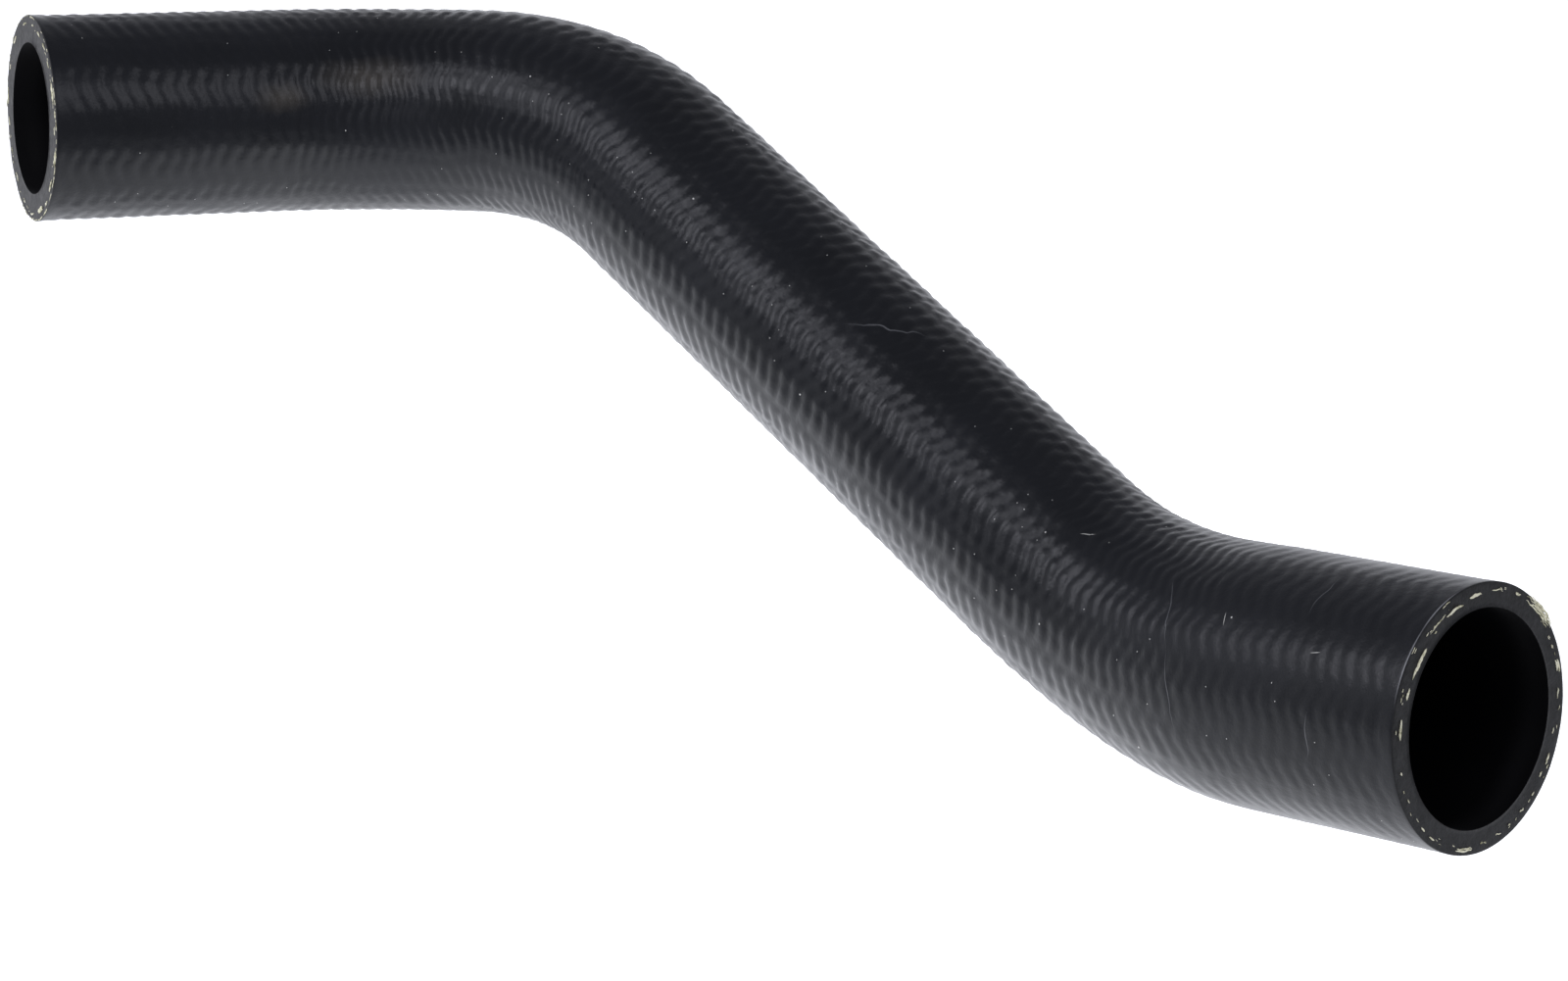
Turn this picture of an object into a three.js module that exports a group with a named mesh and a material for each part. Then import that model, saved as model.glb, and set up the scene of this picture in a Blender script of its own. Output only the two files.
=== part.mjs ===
// Moulded rubber fuel filler hose: one bent tube that widens towards its tank end.
// Millimetres, +Z up. The hose lies on z = 0 as it comes to rest.

import * as THREE from 'three';

// Section of the tube
const BORE_SMALL = 31; // bore at the filler end
const BORE_LARGE = 40; // bore at the tank end
const WALL_SMALL = 5.6; // wall where the tube keeps its extruded size

// Centreline: corner points and the radius of the bend at each inner corner
const CORNERS = [
  [-161, -32, 32],
  [-115, 24.5, 18.7],
  [-71, 39, 28.4],
  [98, -21.3, 19.9],
  [166, -32, 53.8],
];
const BEND_RADII = [66, 62, 105];

// Widening: it starts this far along the centreline and takes this length
const FLARE_START = 273;
const FLARE_LENGTH = 55;

// Print of the knitted reinforcement: one low ring for each course of the knit
const KNIT_PITCH = 3.4;
const KNIT_DEPTH = 0.35;
const KNIT_PLAIN_END = 6; // the print dies away over this length at each cut

// Facets
const SIDES = 24;
const BORE_STEP = 20; // greatest distance between two rings of the bore

// One bend of the centreline: an arc between two straight runs
class Bend extends THREE.Curve {
  constructor(corner, before, after, radius) {
    super();
    this.radius = radius;
    this.angle = before.angleTo(after);
    this.along = before.clone();
    const reach = radius * Math.tan(this.angle / 2);
    this.from = corner.clone().addScaledVector(before, -reach);
    this.inward = after.clone().addScaledVector(before, -before.dot(after)).normalize();
  }

  getPoint(t) {
    const turned = t * this.angle;
    return this.from.clone()
      .addScaledVector(this.along, this.radius * Math.sin(turned))
      .addScaledVector(this.inward, this.radius * (1 - Math.cos(turned)));
  }

  getTangent(t) {
    const turned = t * this.angle;
    return this.along.clone().multiplyScalar(Math.cos(turned))
      .addScaledVector(this.inward, Math.sin(turned));
  }

  getLength() {
    return this.radius * this.angle;
  }
}

// Straight runs joined by bends
function buildCentreline() {
  const corners = CORNERS.map((xyz) => new THREE.Vector3(...xyz));
  const way = corners.slice(1).map((point, i) => point.clone().sub(corners[i]).normalize());
  const pieces = [];
  let start = corners[0];
  BEND_RADII.forEach((radius, i) => {
    const bend = new Bend(corners[i + 1], way[i], way[i + 1], radius);
    pieces.push(new THREE.LineCurve3(start, bend.getPoint(0)), bend);
    start = bend.getPoint(1);
  });
  pieces.push(new THREE.LineCurve3(start, corners[corners.length - 1]));
  return pieces;
}

const PIECES = buildCentreline();

// Distance from the filler end to the start of each piece, and to the tank end
const MARKS = [0];
PIECES.forEach((piece) => MARKS.push(MARKS[MARKS.length - 1] + piece.getLength()));
const LENGTH = MARKS[MARKS.length - 1];

// Point and direction of the centreline at a distance along it
function pointAlong(distance) {
  const i = Math.max(0, PIECES.findLastIndex((_, k) => MARKS[k] <= distance));
  const t = THREE.MathUtils.clamp((distance - MARKS[i]) / PIECES[i].getLength(), 0, 1);
  return { centre: PIECES[i].getPoint(t), along: PIECES[i].getTangent(t) };
}

// Bore radius: the tube is pushed over a mandrel that widens smoothly
function boreRadius(distance) {
  const part = THREE.MathUtils.smoothstep(distance, FLARE_START, FLARE_START + FLARE_LENGTH);
  return THREE.MathUtils.lerp(BORE_SMALL, BORE_LARGE, part) / 2;
}

// Outer radius: the rubber's section area stays the same, so the wall thins where the tube widens
function outerRadius(distance) {
  const inner = BORE_SMALL / 2;
  const outer = inner + WALL_SMALL;
  return Math.sqrt(boreRadius(distance) ** 2 + outer ** 2 - inner ** 2);
}

// Depth of the knit print, full along the middle and none at the cuts
function knitDepth(distance) {
  const fromEnd = Math.min(distance, LENGTH - distance);
  return KNIT_DEPTH * THREE.MathUtils.smoothstep(fromEnd, 0, KNIT_PLAIN_END);
}

// Rings of the outer wall: a crest and a groove for each course
function outerStations() {
  const courses = Math.round(LENGTH / KNIT_PITCH);
  const stations = [];
  for (let i = 0; i <= 2 * courses; i += 1) {
    const distance = (LENGTH * i) / (2 * courses);
    const groove = i % 2 === 0 ? 1 : 0;
    stations.push({ distance, radius: outerRadius(distance) - groove * knitDepth(distance) });
  }
  return stations;
}

// Rings of the bore: close together in the bends and the widening only
function boreStations() {
  const marks = [...MARKS, FLARE_START, FLARE_START + FLARE_LENGTH / 2, FLARE_START + FLARE_LENGTH];
  marks.sort((a, b) => a - b);
  const stations = [];
  for (let i = 1; i < marks.length; i += 1) {
    const gap = marks[i] - marks[i - 1];
    const steps = Math.max(1, Math.ceil(gap / BORE_STEP));
    for (let k = 0; k < steps; k += 1) {
      const distance = marks[i - 1] + (gap * k) / steps;
      stations.push({ distance, radius: boreRadius(distance) });
    }
  }
  stations.push({ distance: LENGTH, radius: boreRadius(LENGTH) });
  return stations;
}

// A direction square to the tube, carried along it without twist
function carriedNormals(stations) {
  const first = pointAlong(0).along;
  const normal = new THREE.Vector3(0, 0, 1).cross(first).normalize();
  let before = first;
  return stations.map(({ distance }) => {
    const { along } = pointAlong(distance);
    normal.applyQuaternion(new THREE.Quaternion().setFromUnitVectors(before, along)).normalize();
    before = along;
    return normal.clone();
  });
}

// The points of every ring, one after the other
function ringPoints(stations) {
  const normals = carriedNormals(stations);
  return stations.map(({ distance, radius }, i) => {
    const { centre, along } = pointAlong(distance);
    const side = along.clone().cross(normals[i]);
    return Array.from({ length: SIDES }, (_, k) => {
      const turn = (2 * Math.PI * k) / SIDES;
      return centre.clone()
        .addScaledVector(normals[i], radius * Math.cos(turn))
        .addScaledVector(side, radius * Math.sin(turn));
    });
  });
}

// Closed skin: up the outer wall, across the cut, back down the bore and across the other cut
function hoseGeometry() {
  const rings = [
    ...ringPoints(outerStations()),
    ...ringPoints(boreStations()).reverse(),
  ];
  const index = [];
  rings.forEach((_, i) => {
    const here = i * SIDES;
    const next = ((i + 1) % rings.length) * SIDES;
    for (let k = 0; k < SIDES; k += 1) {
      const m = (k + 1) % SIDES;
      index.push(here + k, here + m, next + m, here + k, next + m, next + k);
    }
  });
  const geometry = new THREE.BufferGeometry();
  geometry.setFromPoints(rings.flat());
  geometry.setIndex(index);
  return geometry;
}

// The hose, set down on z = 0 and centred over the origin
function layDown(geometry) {
  geometry.computeBoundingBox();
  const { min, max } = geometry.boundingBox;
  geometry.translate(-(min.x + max.x) / 2, -(min.y + max.y) / 2, -min.z);
  geometry.computeVertexNormals();
  return geometry;
}

const rubber = new THREE.MeshStandardMaterial({ color: 0x1d1f23, roughness: 0.55, metalness: 0 });
const hose = new THREE.Mesh(layDown(hoseGeometry()), rubber);
hose.name = 'filler_hose';

const part = new THREE.Group();
part.name = 'fuel_filler_hose';
part.add(hose);

export default part;
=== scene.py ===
"""Looks of a moulded fuel filler hose: satin rubber, knit print, cut ends and thread ends."""

import math
import random
from functools import partial, reduce

import bmesh
import bpy
from mathutils import Matrix, Vector, noise


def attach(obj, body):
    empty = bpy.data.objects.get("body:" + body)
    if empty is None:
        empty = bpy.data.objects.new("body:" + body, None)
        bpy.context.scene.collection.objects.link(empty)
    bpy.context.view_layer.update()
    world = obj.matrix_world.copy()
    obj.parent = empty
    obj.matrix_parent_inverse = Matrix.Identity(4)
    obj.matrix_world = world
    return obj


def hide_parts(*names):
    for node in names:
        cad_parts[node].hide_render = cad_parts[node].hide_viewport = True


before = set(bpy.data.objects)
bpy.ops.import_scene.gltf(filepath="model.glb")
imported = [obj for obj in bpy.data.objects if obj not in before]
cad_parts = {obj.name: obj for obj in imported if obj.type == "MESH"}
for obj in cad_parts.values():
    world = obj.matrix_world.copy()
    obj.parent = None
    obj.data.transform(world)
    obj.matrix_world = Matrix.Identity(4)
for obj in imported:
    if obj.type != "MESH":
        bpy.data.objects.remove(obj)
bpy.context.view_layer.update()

MM = 0.001

# Sizes of the hose in millimetres, as the solid has them
CORNERS = [(-161, -32, 32), (-115, 24.5, 18.7), (-71, 39, 28.4), (98, -21.3, 19.9), (166, -32, 53.8)]
BEND_RADII = [66, 62, 105]
SET_DOWN = Vector((0.024, 0.0156, 0.0657))  # moves the hose onto the table, with its box over the origin
BORE_SMALL = 31
BORE_LARGE = 40
WALL_SMALL = 5.6
FLARE_START = 273
FLARE_LENGTH = 55

# Print of the knitted reinforcement in mm: a course is one ring of it, a wale one lengthwise row of stitches
KNIT_PITCH = 3.4
WALES = 15
THREAD_DEPTH = 0.68  # share of the rubber's section that lies inside the knit
PRINT_HEIGHT = 0.34  # on the filler leg
PRINT_GAIN = 0.08  # how much higher it is on the middle leg
PRINT_LOSS = 0.19  # how much lower it is on the tank leg, where the tube was stretched
DEEPENS, EASES, FADES = (80, 150), (255, 300), (290, 340)  # where along the hose it changes, from and to
PLAIN_END = 4  # the print rises from nothing over this length at each cut
COURSE_WAVE = 0.8  # a course waves to and fro this far once in each wale
COURSE_DRIFT, DRIFT_LENGTH = 1.4, 45  # and wanders this far, changing over this length of the hose
COURSE_SWAY, SWAY_LENGTH = 0.7, 14  # and this far over a shorter one, as the yarn's tension changed
WALE_SWAY = 0.22  # share of its width by which a wale wanders sideways
BEAD_SHARE = 0.4  # share of its height that a course loses between two beads
BEAD_GAIN = 0.25  # and how much more it loses on the middle leg
BEADS_FORM, BEADS_FADE = (110, 170), (290, 345)  # where along the hose that changes, from and to
INNER_GAP = 0.35  # a gap inside a wale is this much weaker than one between two wales
STITCH_SPREAD = 0.15  # beads differ in height by this share

# Fineness of the skin
SIDES = 150  # faces round the hose
ROW_STEP = 0.7  # mm between two rows of the outside
CUT_ROWS = 7  # rows across the flat of a cut
EDGE_STEPS = 4  # steps round its outer edge
BORE_ROWS = 46
OUTSIDE_SHARE = 0.6  # share of the skin's UV height that the outside takes

# Cut faces
EDGE_ROUND = 0.3  # the knife drags the outer edge a little round
CUT_SUNK = 0.12  # and wavers about a plane this far inside the end
INNER_EDGE = 0.12  # width of the slope between the face and the bore

# Finishes of the skin, numbered in the order of its materials
OUTSIDE, TANK_CUT, FILLER_CUT, BORE = 0, 1, 2, 3

# Marks on the outside: two ends, each an angle in degrees and a distance along the hose in mm, and a width
AROUND = math.tau * (BORE_SMALL / 2 + WALL_SMALL)
SCRATCHES = [
    (((111, 211.5), (82, 225)), 0.3),
    (((107, 313), (142, 320.6)), 0.16),
    (((138, 320), (177, 323.8)), 0.16),
    (((86, 348.5), (115, 349.2)), 0.14),
    (((153, 354.9), (176, 354.5)), 0.16),
]
LINT = [
    (((104, 281), (99, 284.2)), 0.13),
    (((126, 351.2), (125, 353.6)), 0.1),
    (((115, 329.6), (122, 330.4)), 0.1),
]
# Pale line painted along the ragged lip that the knife left on the tank cut's outer edge, mostly a painted
# highlight where the rounded edge catches light: from and to in degrees, and a width
LIP_HIGHLIGHT = [((78, 112), 0.3), ((100, 142), 0.25)]
SMUDGES = [(((127, 56), (127, 92)), 5), (((138, 42), (138, 57)), 3.5)]


# Centreline

def hose_runs():
    """Runs of the centreline: length, start and direction there, and a bend's radius and way inward."""
    corners = [Vector(c) for c in CORNERS]
    ways = [(b - a).normalized() for a, b in zip(corners, corners[1:])]
    runs = []
    start = corners[0]
    for corner, before, after, radius in zip(corners[1:], ways, ways[1:], BEND_RADII):
        angle = before.angle(after)
        enter = corner - before * radius * math.tan(angle / 2)
        inward = (after - before * before.dot(after)).normalized()
        runs.append(((enter - start).length, start, before, None, None))
        runs.append((radius * angle, enter, before, radius, inward))
        start = enter + radius * (math.sin(angle) * before + (1 - math.cos(angle)) * inward)
    runs.append(((corners[-1] - start).length, start, ways[-1], None, None))
    return runs


RUNS = hose_runs()
LENGTH = sum(length for length, *_ in RUNS)


def point_along(distance):
    """Point and direction of the centreline at a distance from the filler end."""
    left = distance
    for run in RUNS:
        length, start, way, radius, inward = run
        if left <= length or run is RUNS[-1]:
            break
        left -= length
    if radius is None:
        return start + way * left, way
    turned = left / radius
    point = start + radius * (math.sin(turned) * way + (1 - math.cos(turned)) * inward)
    return point, math.cos(turned) * way + math.sin(turned) * inward


def smooth_step(value, low, high):
    """Rises smoothly from 0 at low to 1 at high."""
    share = min(max((value - low) / (high - low), 0), 1)
    return share * share * (3 - 2 * share)


def bore_radius(distance):
    """Radius of the bore: the tube was pushed over a mandrel that widens smoothly."""
    part = smooth_step(distance, FLARE_START, FLARE_START + FLARE_LENGTH)
    return (BORE_SMALL + (BORE_LARGE - BORE_SMALL) * part) / 2


def layer_radius(distance, share):
    """Radius inside which this share of the rubber's section lies: the section's area never changes."""
    inner = BORE_SMALL / 2
    area = (inner + WALL_SMALL) ** 2 - inner ** 2
    return math.sqrt(bore_radius(distance) ** 2 + share * area)


def section_frames(distances):
    """Centre, direction and two cross directions at each distance, carried along without twist."""
    way = point_along(0)[1]
    across = Vector((0, 0, 1)).cross(way).normalized()
    frames = []
    for distance in distances:
        centre, now = point_along(distance)
        across = way.rotation_difference(now) @ across
        way = now
        frames.append((centre + SET_DOWN, way, across.copy(), way.cross(across)))
    return frames


# Knit print

def print_depth(along):
    """Full height of the print in mm: light on the filler leg, deep on the middle leg, faint at the tank."""
    deep = smooth_step(along, *DEEPENS) * (1 - smooth_step(along, *EASES))
    faint = smooth_step(along, *FADES)
    ends = smooth_step(min(along, LENGTH - along), 0, PLAIN_END)
    return (PRINT_HEIGHT + PRINT_GAIN * deep - PRINT_LOSS * faint) * ends


def bead_share(along):
    """How far the courses break up into separate beads."""
    beaded = smooth_step(along, *BEADS_FORM) * (1 - smooth_step(along, *BEADS_FADE))
    return BEAD_SHARE + BEAD_GAIN * beaded


def knit_print(along, turn):
    """Height in mm of the print over its grooves: wavy courses of round beads, with sharp grooves between."""
    ring = Vector((math.cos(turn), math.sin(turn), 0))
    # A wider ring through the noise changes more often on its way round the hose
    drift = noise.noise(ring * 1.1 + Vector((7, 3, along / DRIFT_LENGTH)))
    sway = noise.noise(ring * 3.2 + Vector((0, 0, along / SWAY_LENGTH)))
    wale = WALES * turn / math.tau + WALE_SWAY * sway
    shift = COURSE_WAVE * math.sin(math.tau * wale) + COURSE_DRIFT * drift + COURSE_SWAY * sway
    course = (along + shift) / KNIT_PITCH
    ring_number = math.floor(course + 0.5)
    bead_number = math.floor(2 * wale)
    # Both run from -1 to 1: across a course from groove to groove, and along it from gap to gap
    off_crest = 2 * (course - ring_number)
    off_bead = 2 * (2 * wale - bead_number) - 1
    inside_wale = math.floor(2 * wale + 0.5) % 2
    fallen = bead_share(along) * (1 - INNER_GAP * inside_wale) * off_bead ** 2
    own = noise.cell(Vector((bead_number % (2 * WALES) + 0.5, ring_number + 0.5, 0.5)))
    stitch = 1 - STITCH_SPREAD + STITCH_SPREAD * own * (1 - off_bead ** 2)
    return print_depth(along) * (1 - off_crest ** 2) * (1 - fallen) * stitch


# Skin of the hose

def skin_rows():
    """Rows of the skin: outside, tank cut, bore, filler cut. Each has its place, radius and finish."""
    count = round(LENGTH / ROW_STEP)
    rows = []
    for i in range(count + 1):
        along = EDGE_ROUND + (LENGTH - 2 * EDGE_ROUND) * i / count
        rows.append((along, layer_radius(along, 1), OUTSIDE))
    rows += reversed(cut_rows(LENGTH, -1, TANK_CUT))
    for i in range(BORE_ROWS + 1):
        along = LENGTH * (1 - i / BORE_ROWS)
        rows.append((along, bore_radius(along), BORE))
    rows += cut_rows(0, 1, FILLER_CUT)
    return rows


def cut_rows(along, inward, finish):
    """Rows across one cut face, from the bore to its rounded outer edge."""
    inner, outer = bore_radius(along) + INNER_EDGE, layer_radius(along, 1)
    flat = outer - EDGE_ROUND
    rows = [(along, inner + (flat - inner) * k / (CUT_ROWS - 1), finish) for k in range(CUT_ROWS)]
    for k in range(1, EDGE_STEPS):
        turned = math.pi / 2 * k / EDGE_STEPS
        rise = EDGE_ROUND * (1 - math.cos(turned))
        rows.append((along + inward * rise, flat + EDGE_ROUND * math.sin(turned), finish))
    return rows


def skin_point(section, along, radius, finish, turn):
    """Point of the skin in mm, with the print on the outside and the knife's waver on the cuts."""
    centre, way, across, side = section
    spoke = math.cos(turn) * across + math.sin(turn) * side
    if finish == OUTSIDE:
        radius += knit_print(along, turn) - print_depth(along)
    sunk = 0
    if finish in (TANK_CUT, FILLER_CUT):
        # The hand wavers over about 5 mm, and the rubber tears and springs back over 1.6 mm
        waver = 0.10 * noise.noise(spoke * radius / 5) + 0.04 * noise.noise(spoke * radius / 1.6)
        sunk = (CUT_SUNK - waver) * smooth_step(min(along, LENGTH - along), EDGE_ROUND, 0)
    inward = way if along < LENGTH / 2 else -way
    return centre + spoke * radius + inward * sunk


def skin_height(rows):
    """UV height of each row: the outside takes its own share, the rest share what is left."""
    outside = sum(finish == OUTSIDE for _, _, finish in rows)
    rest = len(rows) - outside
    heights = [OUTSIDE_SHARE * along / LENGTH for along, _, _ in rows[:outside]]
    heights += [OUTSIDE_SHARE + (1 - OUTSIDE_SHARE) * (k + 1) / (rest + 1) for k in range(rest)]
    return heights + [1]


def face_finish(before, after):
    """Finish of the faces between two rows: those beside a row of a cut belong to the cut."""
    return next((finish for finish in (before, after) if finish in (TANK_CUT, FILLER_CUT)), before)


def hose_skin():
    """The whole hose as one closed skin, rolled up from a flat grid."""
    rows = skin_rows()
    places = sorted({along for along, _, _ in rows})
    sections = dict(zip(places, section_frames(places)))
    heights = skin_height(rows)
    bm = bmesh.new()
    # The grid reaches from -1 to 1 both ways: X becomes the turn round the hose, and Y counts the rows
    bmesh.ops.create_grid(bm, x_segments=SIDES, y_segments=len(rows), size=1)
    number = {v: round((v.co.y + 1) / 2 * len(rows)) for v in bm.verts}
    uv = bm.loops.layers.uv.new("hose")
    for face in bm.faces:
        first = min(number[v] for v in face.verts)
        last = (first + 1) % len(rows)
        face.material_index = face_finish(rows[first][2], rows[last][2])
        face.smooth = True
        for loop in face.loops:
            loop[uv].uv = ((loop.vert.co.x + 1) / 2, heights[number[loop.vert]])
    for v in bm.verts:
        along, radius, finish = rows[number[v] % len(rows)]
        turn = math.pi * (v.co.x + 1)
        v.co = skin_point(sections[along], along, radius, finish, turn) * MM
    bmesh.ops.remove_doubles(bm, verts=bm.verts, dist=1e-7)
    bmesh.ops.recalc_face_normals(bm, faces=bm.faces)
    return finished("hose_skin", bm)


def finished(name, bm):
    """The finished mesh as a piece of the scene, in its place in metres."""
    mesh = bpy.data.meshes.new(name)
    bm.to_mesh(mesh)
    bm.free()
    piece = bpy.data.objects.new(name, mesh)
    bpy.context.scene.collection.objects.link(piece)
    return piece


# Strands of cut thread round each cut: start and end in degrees, radius, width, how many side by side
TANK_THREADS = [
    (79, 93, 22.1, 0.45, 2), (66, 76, 22.7, 0.7, 2), (50, 60, 23.0, 0.3, 1), (37, 41, 23.4, 0.4, 2),
    (9, 33, 24.0, 0.55, 5), (12, 26, 24.3, 0.4, 3), (0, 2, 23.0, 0.45, 1), (347, 354, 23.3, 0.55, 2),
    (335, 341, 22.8, 0.3, 1), (319, 322, 22.3, 0.3, 1), (304, 311, 22.7, 0.6, 2), (298, 301, 22.5, 0.4, 1),
    (288, 291, 22.8, 0.3, 1), (278, 281, 22.7, 0.3, 1), (268, 270, 22.8, 0.3, 1), (259, 263, 22.9, 0.3, 1),
    (247, 250, 22.9, 0.3, 1), (230, 242, 23.4, 0.5, 3), (209, 214, 23.3, 0.3, 1), (202, 205, 23.2, 0.35, 1),
    (184, 187, 22.8, 0.2, 1), (170, 172, 22.7, 0.25, 1), (146, 156, 22.2, 0.6, 2), (131, 138, 21.9, 0.4, 2),
    (111, 128, 21.7, 0.7, 2), (101, 103, 21.8, 0.3, 1), (92, 106, 22.7, 0.2, 2),
]
FILLER_THREADS = [
    (40, 49, 19.6, 0.4, 2), (62, 66, 19.4, 0.3, 1), (78, 85, 19.5, 0.4, 1), (91, 98, 19.7, 0.4, 2),
    (105, 111, 19.5, 0.3, 1), (120, 132, 19.7, 0.7, 3), (137, 142, 20.5, 0.45, 2), (146, 152, 19.5, 0.4, 1),
    (160, 170, 20.6, 0.7, 3), (181, 191, 19.7, 0.55, 2), (199, 205, 19.9, 0.4, 1), (211, 224, 19.3, 0.6, 3),
    (235, 242, 19.6, 0.4, 1), (258, 262, 19.5, 0.35, 1), (277, 286, 18.9, 0.4, 2), (300, 304, 19.4, 0.3, 1),
    (317, 323, 19.6, 0.3, 1), (330, 341, 20.1, 0.5, 2), (352, 357, 19.6, 0.35, 1), (12, 21, 19.7, 0.35, 2),
]
# Fibres dragged out at the outer edge: start and end in degrees, how many
TANK_FRAY = [(84, 96, 2), (112, 118, 1)]
FILLER_FRAY = [(0, 360, 70)]
FINE_ENDS = 40  # cut ends of single fibres, scattered all round each cut
STRAND_STEP = 0.35  # strands that lie side by side are this far apart
CARRY_STEPS = 400  # steps in which the cross directions are carried along to a cut


def add_strand(bm, section, outward, radius, start, end, width, lift):
    """One cut strand that follows the wall and tapers to both ends, sunk halfway into the cut face.

    It wanders by a few tenths of a millimetre, and is thicker and thinner where its fibres bunch and part.
    """
    centre, _, across, side = section
    middle, half = math.radians((start + end) / 2), math.radians((end - start) / 2)
    for v in bmesh.ops.create_uvsphere(bm, u_segments=8, v_segments=18, radius=1)["verts"]:
        turn = middle + half * v.co.z
        spoke = math.cos(turn) * across + math.sin(turn) * side
        place = centre + spoke * radius
        sway = 0.3 * noise.noise(place / 1.3) + 0.12 * noise.noise(place / 0.4)
        knot = 1 + 0.5 * noise.noise(place / 0.5 + Vector((9, 0, 0)))
        thick = width * knot / 2
        place += spoke * (v.co.x * thick + sway) + outward * (lift + v.co.y * thick + 0.5 * sway)
        v.co = place * MM


def thread_ends(name, along, way_out, table, fray, seed):
    """The ring of thread ends on one cut face, and the fibres that the knife dragged out at its edge."""
    section = section_frames([along * k / CARRY_STEPS for k in range(CARRY_STEPS + 1)])[-1]
    outward = section[1] * way_out
    dice = random.Random(seed)
    bm = bmesh.new()
    for start, end, radius, width, count in table:
        for _ in range(count):
            trim = (end - start) * dice.uniform(0, 0.25)
            low = start + trim * dice.random()
            off = STRAND_STEP * (count - 1) * dice.uniform(-0.5, 0.5)
            thick = width * dice.uniform(0.6, 1) / count ** 0.3
            lift = dice.uniform(-0.12, 0.02)
            add_strand(bm, section, outward, radius + off, low, low + end - start - trim, thick, lift)
    for _ in range(FINE_ENDS):
        turn = dice.uniform(0, 360)
        radius = layer_radius(along, dice.gauss(THREAD_DEPTH, 0.06))
        tip = turn + dice.uniform(0.8, 2.4)
        add_strand(bm, section, outward, radius, turn, tip, dice.uniform(0.08, 0.16), -0.06)
    for start, end, count in fray:
        for _ in range(count):
            turn = dice.uniform(start, end)
            radius = layer_radius(along, 1) - dice.uniform(0.1, 0.35)
            tip = turn + dice.uniform(2, 7)
            add_strand(bm, section, outward, radius, turn, tip, dice.uniform(0.1, 0.2), -0.1)
    if way_out > 0:  # where the way out follows the hose, the strands are made inside out
        bmesh.ops.reverse_faces(bm, faces=bm.faces)
    for face in bm.faces:
        face.smooth = True
    return finished(name, bm)


# Materials

def linear(hex_colour, alpha=1):
    """Turns an sRGB hex value such as '1A1B1E' to the linear colour that a shader takes."""
    parts = [int(hex_colour[i:i + 2], 16) / 255 for i in (0, 2, 4)]
    made = [p / 12.92 if p <= 0.04045 else ((p + 0.055) / 1.055) ** 2.4 for p in parts]
    return (*made, alpha)


def feed(made, inputs):
    """Fills a node's inputs, by name or number, with nodes, outputs, numbers or sRGB hex colours."""
    for name, source in inputs.items():
        if isinstance(source, bpy.types.Node):
            source = next(out for out in source.outputs if out.enabled)
        if isinstance(source, bpy.types.NodeSocket):
            made.id_data.links.new(source, made.inputs[name])
        else:
            value = linear(source) if isinstance(source, str) else source
            made.inputs[name].default_value = value


def node(tree, kind, inputs=(), stops=(), **settings):
    """Adds a node with its settings and inputs, and a colour ramp's stops as (place, hex colour) pairs."""
    made = tree.nodes.new(kind)
    for name, value in settings.items():
        setattr(made, name, value)
    for k, (place, colour) in enumerate(stops):
        marks = made.color_ramp.elements
        mark = marks[k] if k < len(marks) else marks.new(place)
        mark.position = place
        mark.color = linear(colour)
    feed(made, dict(inputs))
    return made


def per_metre(size):
    """Scale of a pattern on Object coordinates whose marks have this size in mm."""
    return 1 / (size * MM)


def new_material(name):
    """A new material, the adder of its nodes and its surface shader."""
    material = bpy.data.materials.new(name)
    material.use_nodes = True
    tree = material.node_tree
    return material, partial(node, tree), tree.nodes["Principled BSDF"]


def specks(add, spread, spacing, radius, share):
    """Mask of specks on the unrolled skin, sizes in mm: one per cell of this spacing, in a share of them."""
    cells = add("ShaderNodeTexVoronoi", {"Vector": spread, "Scale": 1 / spacing}, voronoi_dimensions="2D")
    near = add("ShaderNodeMath", {0: cells.outputs["Distance"], 1: radius / spacing}, operation="LESS_THAN")
    chance = add("ShaderNodeSeparateColor", {"Color": cells.outputs["Color"]})
    kept = add("ShaderNodeMath", {0: chance.outputs["Red"], 1: share}, operation="LESS_THAN")
    return add("ShaderNodeMath", {0: near, 1: kept}, operation="MULTIPLY")


def stroke(add, spread, ends, width):
    """Mask of one mark on the unrolled skin: strongest in its middle, fading to its ends and sides."""
    (turn_a, along_a), (turn_b, along_b) = ends
    a, b = Vector((turn_a / 360 * AROUND, along_a)), Vector((turn_b / 360 * AROUND, along_b))
    middle, run = (a + b) / 2, b - a
    lie = add("ShaderNodeMapping", {
        "Vector": spread, "Location": (*middle, 0), "Rotation": (0, 0, math.atan2(run.y, run.x)),
        "Scale": (run.length / 2, width, 1)}, vector_type="TEXTURE")
    return add("ShaderNodeTexGradient", {"Vector": lie}, gradient_type="SPHERICAL").outputs["Fac"]


def strokes(add, spread, marks, strength):
    """Mask of several marks, made this many times stronger up to full cover."""
    masks = [stroke(add, spread, ends, width) for ends, width in marks]
    union = reduce(lambda one, other: add("ShaderNodeMath", {0: one, 1: other}, operation="MAXIMUM"), masks)
    scaled = add("ShaderNodeMath", {0: union, 1: strength}, operation="MULTIPLY")
    return add("ShaderNodeMath", {0: scaled, 1: 1.0}, operation="MINIMUM")


def dust(add, unrolled):
    """Mask of dust: a few specks of 0.35 mm, and many of 0.2 mm in drifts a few centimetres wide."""
    drifts = add("ShaderNodeTexNoise", {"Vector": unrolled, "Scale": 1 / 22, "Detail": 2.0})
    gathered = add("ShaderNodeMath", {0: drifts, 1: 0.5}, operation="GREATER_THAN")
    many = specks(add, unrolled, 2.6, 0.1, 0.08)
    fine = add("ShaderNodeMath", {0: many, 1: gathered}, operation="MULTIPLY")
    coarse = specks(add, unrolled, 14.0, 0.17, 0.09)
    both = add("ShaderNodeMath", {0: coarse, 1: fine}, operation="MAXIMUM")
    return add("ShaderNodeMath", {0: both, 1: 0.75}, operation="MULTIPLY")


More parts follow.
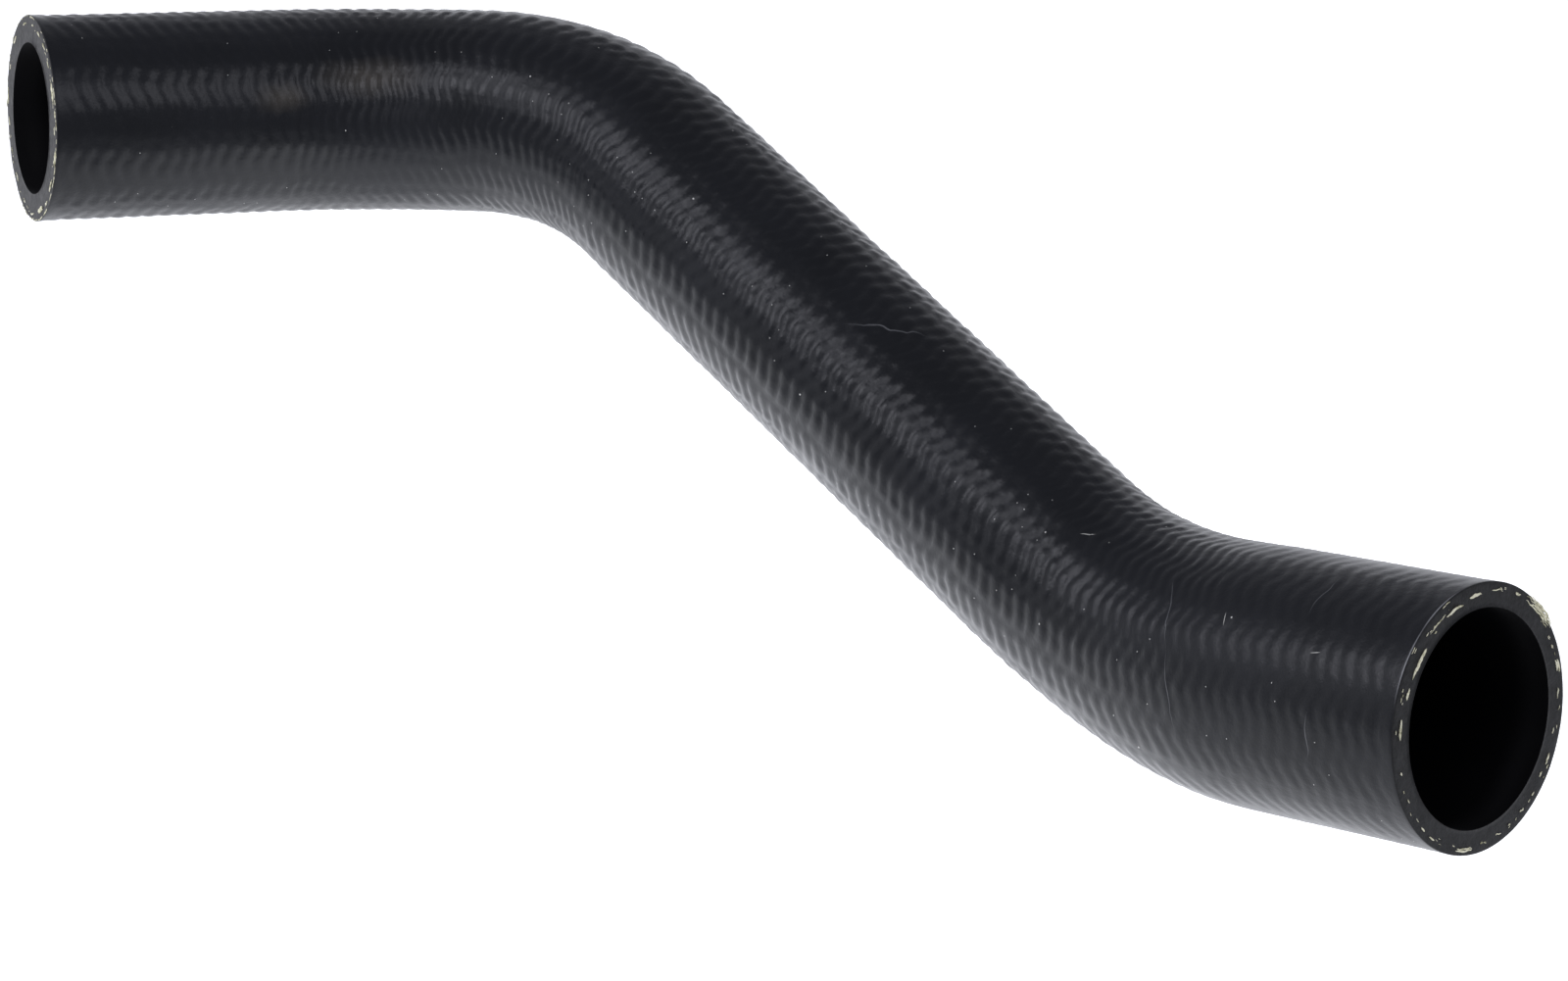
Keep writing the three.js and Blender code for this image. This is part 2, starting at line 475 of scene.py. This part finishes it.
def rubber_outside():
    """Fuel-resistant rubber cured on a mandrel: satin black with wide soft highlights and a fine grain."""
    material, add, shader = new_material("moulded_rubber_satin")
    place = add("ShaderNodeTexCoord").outputs["Object"]
    unrolled = add("ShaderNodeMapping", {
        "Vector": add("ShaderNodeUVMap", uv_map="hose"), "Scale": (AROUND, LENGTH / OUTSIDE_SHARE, 1)})
    # Scratches waver a little, about a millimetre over their length
    waver = add("ShaderNodeTexNoise", {"Vector": unrolled, "Scale": 1 / 6.25, "Detail": 2.0})
    spread = add("ShaderNodeVectorMath", {0: waver.outputs["Color"], 1: (3.0, 3.0, 0.0), 2: unrolled},
                 operation="MULTIPLY_ADD")
    # Bloom and handling leave cloudy patches a few centimetres wide, seen as a faint change of gloss
    cloud = add("ShaderNodeTexNoise", {"Vector": place, "Scale": per_metre(26), "Detail": 3.0})
    gloss = add("ShaderNodeMapRange", {
        "Value": cloud, "From Min": 0.3, "From Max": 0.7, "To Min": 0.3, "To Max": 0.36})
    colour = add("ShaderNodeValToRGB", {"Fac": cloud}, stops=[(0.3, "0E1014"), (0.7, "13151A")])
    # Marks in the order in which they came to lie over one another, with the painted highlight on the tank
    # cut's lip among them
    # Painted highlight: a pale line just inside the tank cut's outer edge, where the rounded edge catches
    # light
    edge = LENGTH - 0.4
    lip_highlight = [(((start, edge), (end, edge)), width) for (start, end), width in LIP_HIGHLIGHT]
    for mask, tint in (
        (strokes(add, spread, SMUDGES, 0.5), "46413A"),
        (strokes(add, spread, SCRATCHES, 1.0), "5C5D60"),
        (strokes(add, unrolled, LINT, 2.5), "A4A4A0"),
        (strokes(add, unrolled, lip_highlight, 1.4), "77787B"),
        (dust(add, unrolled), "D8D8D4"),
    ):
        colour = add("ShaderNodeMix", {0: mask, 6: colour, 7: tint}, data_type="RGBA")
    # The grain of the rubber is about 0.3 mm across and a few hundredths deep, on a swell of about 2 mm
    grain = add("ShaderNodeTexNoise", {"Vector": place, "Scale": per_metre(0.3), "Detail": 2.0})
    swell = add("ShaderNodeTexNoise", {"Vector": place, "Scale": per_metre(1.8), "Detail": 2.0})
    lift = add("ShaderNodeMath", {0: grain, 1: 0.35, 2: swell}, operation="MULTIPLY_ADD")
    # Rubber full of carbon black has an index of 1.5, and its fine pits swallow half of the mirror reflection
    feed(shader, {
        "Base Color": colour, "Roughness": gloss, "IOR": 1.5, "Specular IOR Level": 0.27,
        "Normal": add("ShaderNodeBump", {"Height": lift, "Strength": 0.5, "Distance": 0.00014}),
    })
    return material


def rubber_cut(name, dark, pale):
    """Rubber cut with a knife: dull, with drag marks and crumbs, paler where the cut has frayed. A paler copy
    serves as painted light on a face that takes more light.
    """
    material, add, shader = new_material(name)
    place = add("ShaderNodeTexCoord").outputs["Object"]
    drag = add("ShaderNodeTexNoise", {
        "Vector": place, "Scale": per_metre(1.4), "Detail": 4.0, "Roughness": 0.65})
    feed(shader, {
        "Base Color": add("ShaderNodeValToRGB", {"Fac": drag}, stops=[(0.35, dark), (0.7, pale)]),
        "Roughness": 0.6, "IOR": 1.5, "Specular IOR Level": 0.35,
        "Normal": add("ShaderNodeBump", {"Height": drag, "Strength": 0.6, "Distance": 0.0003}),
    })
    return material


def rubber_bore():
    """Fuel-resistant liner cured against the mandrel, painted deeper black than the outside and with hardly
    any shine: painted shade for the shadow inside the bore.
    """
    material, add, shader = new_material("bore_liner_painted_shade")
    place = add("ShaderNodeTexCoord").outputs["Object"]
    wipe = add("ShaderNodeTexNoise", {"Vector": place, "Scale": per_metre(11), "Detail": 3.0})
    feed(shader, {
        "Base Color": add("ShaderNodeValToRGB", {"Fac": wipe}, stops=[(0.3, "030304"), (0.8, "060608")]),
        "Roughness": 0.7, "IOR": 1.5, "Specular IOR Level": 0.06,
    })
    return material


def reinforcement_thread():
    """Knitted yarn, cut through: pale ivory and without shine."""
    material, add, shader = new_material("reinforcement_thread_ivory")
    place = add("ShaderNodeTexCoord").outputs["Object"]
    soil = add("ShaderNodeTexNoise", {"Vector": place, "Scale": per_metre(1.1), "Detail": 3.0})
    ivory = [(0.32, "9C9A78"), (0.5, "E6E3C6"), (0.8, "F8F6E2")]
    feed(shader, {
        "Base Color": add("ShaderNodeValToRGB", {"Fac": soil}, stops=ivory), "Roughness": 0.85, "IOR": 1.5,
    })
    return material


# Studio

COOL_WHITE = "F4F5FF"
LAMP_DISTANCE = 1.0
LAMP_AIM = Vector((0, 0, 0.03))  # every lamp faces this point inside the middle leg


def floor():
    """Pale acrylic floor whose emission paints light: a painted pool of light under the hose that fills in
    its shadow, and an even glow over most of the table.
    """
    bm = bmesh.new()
    bmesh.ops.create_grid(bm, x_segments=1, y_segments=1, size=4)
    piece = finished("studio_floor", bm)
    material, add, shader = new_material("floor_painted_light_pool")
    place = add("ShaderNodeTexCoord").outputs["Object"]
    # The glow is strongest in a long pool under the hose, even over most of the table and weak past its edge.
    # The pool is round in a space squeezed along X. Both have reaches in metres and a strength at each
    squeezed = add("ShaderNodeVectorMath", {0: place, 1: (0.45, 1.0, 1.0)}, operation="MULTIPLY")
    under = add("ShaderNodeVectorMath", {0: squeezed, 1: (0.0135, -0.015, 0.0)}, operation="DISTANCE")
    out = add("ShaderNodeVectorMath", {0: place, 1: (0.03, -0.015, 0.0)}, operation="DISTANCE")
    pool, table = (
        add("ShaderNodeMapRange", {
            "Value": reach, "From Min": near, "From Max": far, "To Min": bright, "To Max": dim,
        }, interpolation_type="SMOOTHSTEP")
        for reach, near, far, bright, dim in ((under, 0.02, 0.1, 2.1, 0.95), (out, 0.27, 0.48, 1.0, 0.12)))
    # The emission is painted light: the pool under the hose lights its underside and fills in its shadow on
    # the floor
    feed(shader, {
        "Base Color": "C4C4C4", "Roughness": 0.9, "Emission Color": "F7F9FF",
        "Emission Strength": add("ShaderNodeMath", {0: pool, 1: table}, operation="MULTIPLY"),
    })
    piece.data.materials.append(material)
    return piece


def softbox(name, toward, size, radiance):
    """A rectangular softbox seen from the hose at a compass angle and a height angle in degrees.

    The compass angle runs from +Y towards +X. The radiance of the open floor is about 1.
    """
    light = bpy.data.lights.new(name, "AREA")
    light.shape = "RECTANGLE"
    light.size, light.size_y = size
    light.color = linear(COOL_WHITE)[:3]
    # The radiance of such a lamp is its power over four times its area
    light.energy = radiance * 4 * size[0] * size[1]
    compass, height = (math.radians(angle) for angle in toward)
    level = math.cos(height)
    away = Vector((math.sin(compass) * level, math.cos(compass) * level, math.sin(height)))
    lamp = bpy.data.objects.new(name, light)
    lamp.location = away * LAMP_DISTANCE + LAMP_AIM
    lamp.rotation_euler = away.to_track_quat("Z", "Y").to_euler()
    bpy.context.scene.collection.objects.link(lamp)
    return lamp


def studio_sky():
    """Dim studio: grey near the horizon, dark overhead."""
    world = bpy.data.worlds.new("studio")
    bpy.context.scene.world = world
    world.use_nodes = True
    way = node(world.node_tree, "ShaderNodeTexCoord").outputs["Generated"]
    parts = node(world.node_tree, "ShaderNodeSeparateXYZ", {"Vector": way})
    shade = node(world.node_tree, "ShaderNodeMapRange", {
        "Value": parts.outputs["Z"], "From Min": 0.0, "From Max": 0.75, "To Min": 0.42, "To Max": 0.26})
    feed(world.node_tree.nodes["Background"], {"Color": COOL_WHITE, "Strength": shade})


def camera():
    """The photograph's view: a long lens, from in front on the tank end's side, and well above."""
    lens = bpy.data.cameras.new("view")
    lens.sensor_width = 36
    lens.lens = 106.641
    lens.clip_start, lens.clip_end = 0.05, 20
    holder = bpy.data.objects.new("view", lens)
    right = Vector((0.84444, 0.53354, 0.04745)).normalized()
    back = -Vector((-0.35181, 0.61925, -0.70197)).normalized()
    up = back.cross(right)
    turn = Matrix((right, up, back)).transposed().to_4x4()
    holder.matrix_world = Matrix.Translation((0.33461, -0.58254, 0.65282)) @ turn
    bpy.context.scene.collection.objects.link(holder)
    bpy.context.scene.camera = holder


# The hose

camera()
skin = hose_skin()
for material in (
    rubber_outside(),
    # The filler cut is painted paler than the tank cut: partly for its fuzzier, frayed cut, and partly as
    # painted light, a lit copy of the same rubber for a face that takes more light
    rubber_cut("cut_rubber_dull", "0E0F10", "1D1E20"),
    rubber_cut("cut_rubber_frayed_painted_lit", "1A1A1C", "404040"),
    rubber_bore(),
):
    skin.data.materials.append(material)
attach(skin, "root")
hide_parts("filler_hose")

yarn = reinforcement_thread()
for ends in (
    thread_ends("tank_thread_ends", LENGTH, 1, TANK_THREADS, TANK_FRAY, 5),
    thread_ends("filler_thread_ends", 0, -1, FILLER_THREADS, FILLER_FRAY, 8),
):
    ends.data.materials.append(yarn)
    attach(ends, "root")

floor()
studio_sky()
softbox("overhead", (199, 65), (0.58, 0.4), 3.1)
softbox("left", (242, 37), (0.36, 0.36), 4.6)
softbox("left_low", (240, 12), (0.7, 0.2), 0.5)
softbox("right", (76, 58), (0.6, 0.4), 2.0)
softbox("front", (170, 36), (0.5, 0.3), 0.5)
bpy.context.scene.view_settings.view_transform = "Standard"
